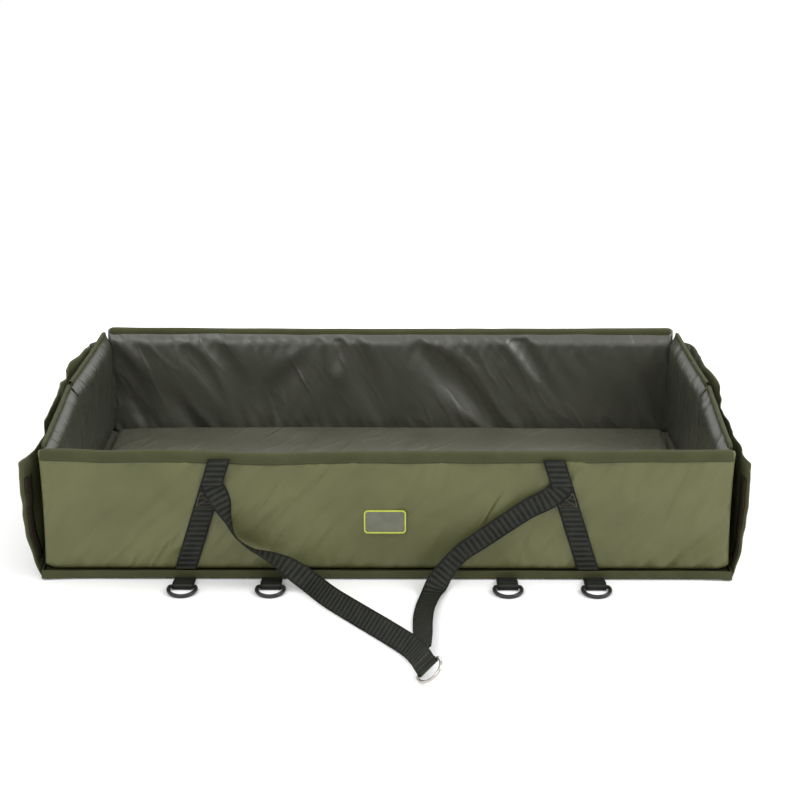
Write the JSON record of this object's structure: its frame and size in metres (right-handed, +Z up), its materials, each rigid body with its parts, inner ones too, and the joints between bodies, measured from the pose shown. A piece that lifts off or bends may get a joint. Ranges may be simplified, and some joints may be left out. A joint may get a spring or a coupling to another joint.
{
  "type": "unhooking mat",
  "caption": "Folding padded unhooking mat: a shallow soft-walled tray with creased end walls, loose end flaps, a webbing carry handle and ground-peg rings.",
  "frame": {"origin": "middle of the flat underside", "axes": "+X along the long walls to the right, +Y from the front wall to the back wall, +Z up"},
  "size_m": [1.0501, 0.9432, 0.205],
  "materials": {
    "outer_cloth": "satin coated cloth",
    "trim_cloth": "matt coated cloth",
    "liner_cloth": "soft satin coated cloth",
    "foam": "open-cell foam",
    "webbing": "ribbed webbing",
    "ring_plastic": "satin",
    "ring_metal": "polished",
    "hook_and_loop": "brushed",
    "patch_edge": "satin",
    "patch_field": "matt"
  },
  "bodies": {
    "base_spine": {"spine_cover": "trim_cloth", "spine_liner": "liner_cloth"},
    "front_base": {"front_base_cover": "trim_cloth", "front_base_foam": "foam", "front_floor_pad": "liner_cloth", "front_base_binding": "trim_cloth", "outer_left_ring_tab": "webbing", "inner_left_ring_tab": "webbing", "inner_right_ring_tab": "webbing", "outer_right_ring_tab": "webbing"},
    "back_base": {"back_base_cover": "trim_cloth", "back_base_foam": "foam", "back_floor_pad": "liner_cloth", "back_base_binding": "trim_cloth"},
    "front_wall_body": {"front_wall_cover": "outer_cloth", "front_wall_liner": "liner_cloth", "front_wall_foam": "foam", "front_wall_binding": "trim_cloth", "front_left_strap": "webbing", "front_right_strap": "webbing", "front_left_keeper": "webbing", "front_right_keeper": "webbing", "patch_ground": "patch_field", "patch_rim": "patch_edge"},
    "back_wall_body": {"back_wall_cover": "outer_cloth", "back_wall_liner": "liner_cloth", "back_wall_foam": "foam", "back_wall_binding": "trim_cloth"},
    "left_front_wing_body": {"left_front_wing_cover": "outer_cloth", "left_front_wing_liner": "liner_cloth", "left_front_wing_foam": "foam", "left_front_wing_binding": "trim_cloth"},
    "right_front_wing_body": {"right_front_wing_cover": "outer_cloth", "right_front_wing_liner": "liner_cloth", "right_front_wing_foam": "foam", "right_front_wing_binding": "trim_cloth"},
    "left_back_wing_body": {"left_back_wing_cover": "outer_cloth", "left_back_wing_liner": "liner_cloth", "left_back_wing_foam": "foam", "left_back_wing_binding": "trim_cloth"},
    "right_back_wing_body": {"right_back_wing_cover": "outer_cloth", "right_back_wing_liner": "liner_cloth", "right_back_wing_foam": "foam", "right_back_wing_binding": "trim_cloth"},
    "handle_body": {"left_handle_leg": "webbing", "right_handle_leg": "webbing"},
    "handle_ring_body": {"handle_ring": "ring_metal"},
    "outer_left_ring_body": {"outer_left_peg_ring": "ring_plastic"},
    "inner_left_ring_body": {"inner_left_peg_ring": "ring_plastic"},
    "inner_right_ring_body": {"inner_right_peg_ring": "ring_plastic"},
    "outer_right_ring_body": {"outer_right_peg_ring": "ring_plastic"},
    "left_flap_body": {"left_end_flap": "trim_cloth", "left_flap_tape": "hook_and_loop"},
    "right_flap_body": {"right_end_flap": "trim_cloth", "right_flap_tape": "hook_and_loop"}
  },
  "joints": [
    {"name": "fold", "type": "hinge", "parent": "base_spine", "child": "front_base", "pos_m": [0, -0.02, 0.003], "axis": [-1, 0, 0], "range_deg": [0, 75], "deforming": ["left_end_flap", "right_end_flap", "left_flap_tape", "right_flap_tape", "left_handle_leg", "right_handle_leg"]},
    {"name": "back_fold", "type": "hinge", "parent": "base_spine", "child": "back_base", "pos_m": [0, 0.02, 0.003], "axis": [1, 0, 0], "range_deg": [0, 75]},
    {"name": "front_wall_fold", "type": "hinge", "parent": "front_base", "child": "front_wall_body", "pos_m": [0, -0.3, 0.0148], "axis": [1, 0, 0], "range_deg": [0, 75]},
    {"name": "back_wall_fold", "type": "hinge", "parent": "back_base", "child": "back_wall_body", "pos_m": [0, 0.3, 0.0148], "axis": [-1, 0, 0], "range_deg": [0, 75]},
    {"name": "left_front_wing_fold", "type": "hinge", "parent": "front_wall_body", "child": "left_front_wing_body", "pos_m": [-0.48, -0.27063, 0.0262], "axis": [0, 0, -1], "range_deg": [0, 86]},
    {"name": "right_front_wing_fold", "type": "hinge", "parent": "front_wall_body", "child": "right_front_wing_body", "pos_m": [0.48, -0.27063, 0.0262], "axis": [0, 0, 1], "range_deg": [0, 86]},
    {"name": "left_back_wing_fold", "type": "hinge", "parent": "back_wall_body", "child": "left_back_wing_body", "pos_m": [-0.48, 0.27063, 0.0262], "axis": [0, 0, 1], "range_deg": [0, 86]},
    {"name": "right_back_wing_fold", "type": "hinge", "parent": "back_wall_body", "child": "right_back_wing_body", "pos_m": [0.48, 0.27063, 0.0262], "axis": [0, 0, -1], "range_deg": [0, 86]},
    {"name": "handle_lift", "type": "hinge", "parent": "front_wall_body", "child": "handle_body", "pos_m": [0, -0.303, 0.138], "axis": [-1, 0, 0], "range_deg": [0, 110]},
    {"name": "handle_ring_turn", "type": "hinge", "parent": "handle_body", "child": "handle_ring_body", "pos_m": [0.0562, -0.6104, 0.0175], "axis": [-0.711, -0.2403, -0.6609], "range_deg": [0, 110]},
    {"name": "outer_left_ring_turn", "type": "hinge", "parent": "front_base", "child": "outer_left_ring_body", "pos_m": [-0.294, -0.3375, 0.0049], "axis": [1, 0, 0], "range_deg": [-100, 0]},
    {"name": "inner_left_ring_turn", "type": "hinge", "parent": "front_base", "child": "inner_left_ring_body", "pos_m": [-0.167, -0.3375, 0.0049], "axis": [1, 0, 0], "range_deg": [-100, 0]},
    {"name": "inner_right_ring_turn", "type": "hinge", "parent": "front_base", "child": "inner_right_ring_body", "pos_m": [0.175, -0.3375, 0.0049], "axis": [1, 0, 0], "range_deg": [-100, 0]},
    {"name": "outer_right_ring_turn", "type": "hinge", "parent": "front_base", "child": "outer_right_ring_body", "pos_m": [0.302, -0.3375, 0.0049], "axis": [1, 0, 0], "range_deg": [-100, 0]},
    {"name": "left_flap_open", "type": "hinge", "parent": "base_spine", "child": "left_flap_body", "pos_m": [-0.5037, 0, 0.0022], "axis": [0, -1, 0], "range_deg": [0, 70]},
    {"name": "right_flap_open", "type": "hinge", "parent": "base_spine", "child": "right_flap_body", "pos_m": [0.5037, 0, 0.0022], "axis": [0, 1, 0], "range_deg": [0, 70]}
  ],
  "couplings": [
    {"joint": "back_fold", "follows": "fold", "ratio": 1},
    {"joint": "front_wall_fold", "follows": "fold", "ratio": 1},
    {"joint": "back_wall_fold", "follows": "fold", "ratio": 1},
    {"joint": "left_front_wing_fold", "follows": "fold", "ratio": 1.14},
    {"joint": "right_front_wing_fold", "follows": "fold", "ratio": 1.14},
    {"joint": "left_back_wing_fold", "follows": "fold", "ratio": 1.14},
    {"joint": "right_back_wing_fold", "follows": "fold", "ratio": 1.14}
  ]
}
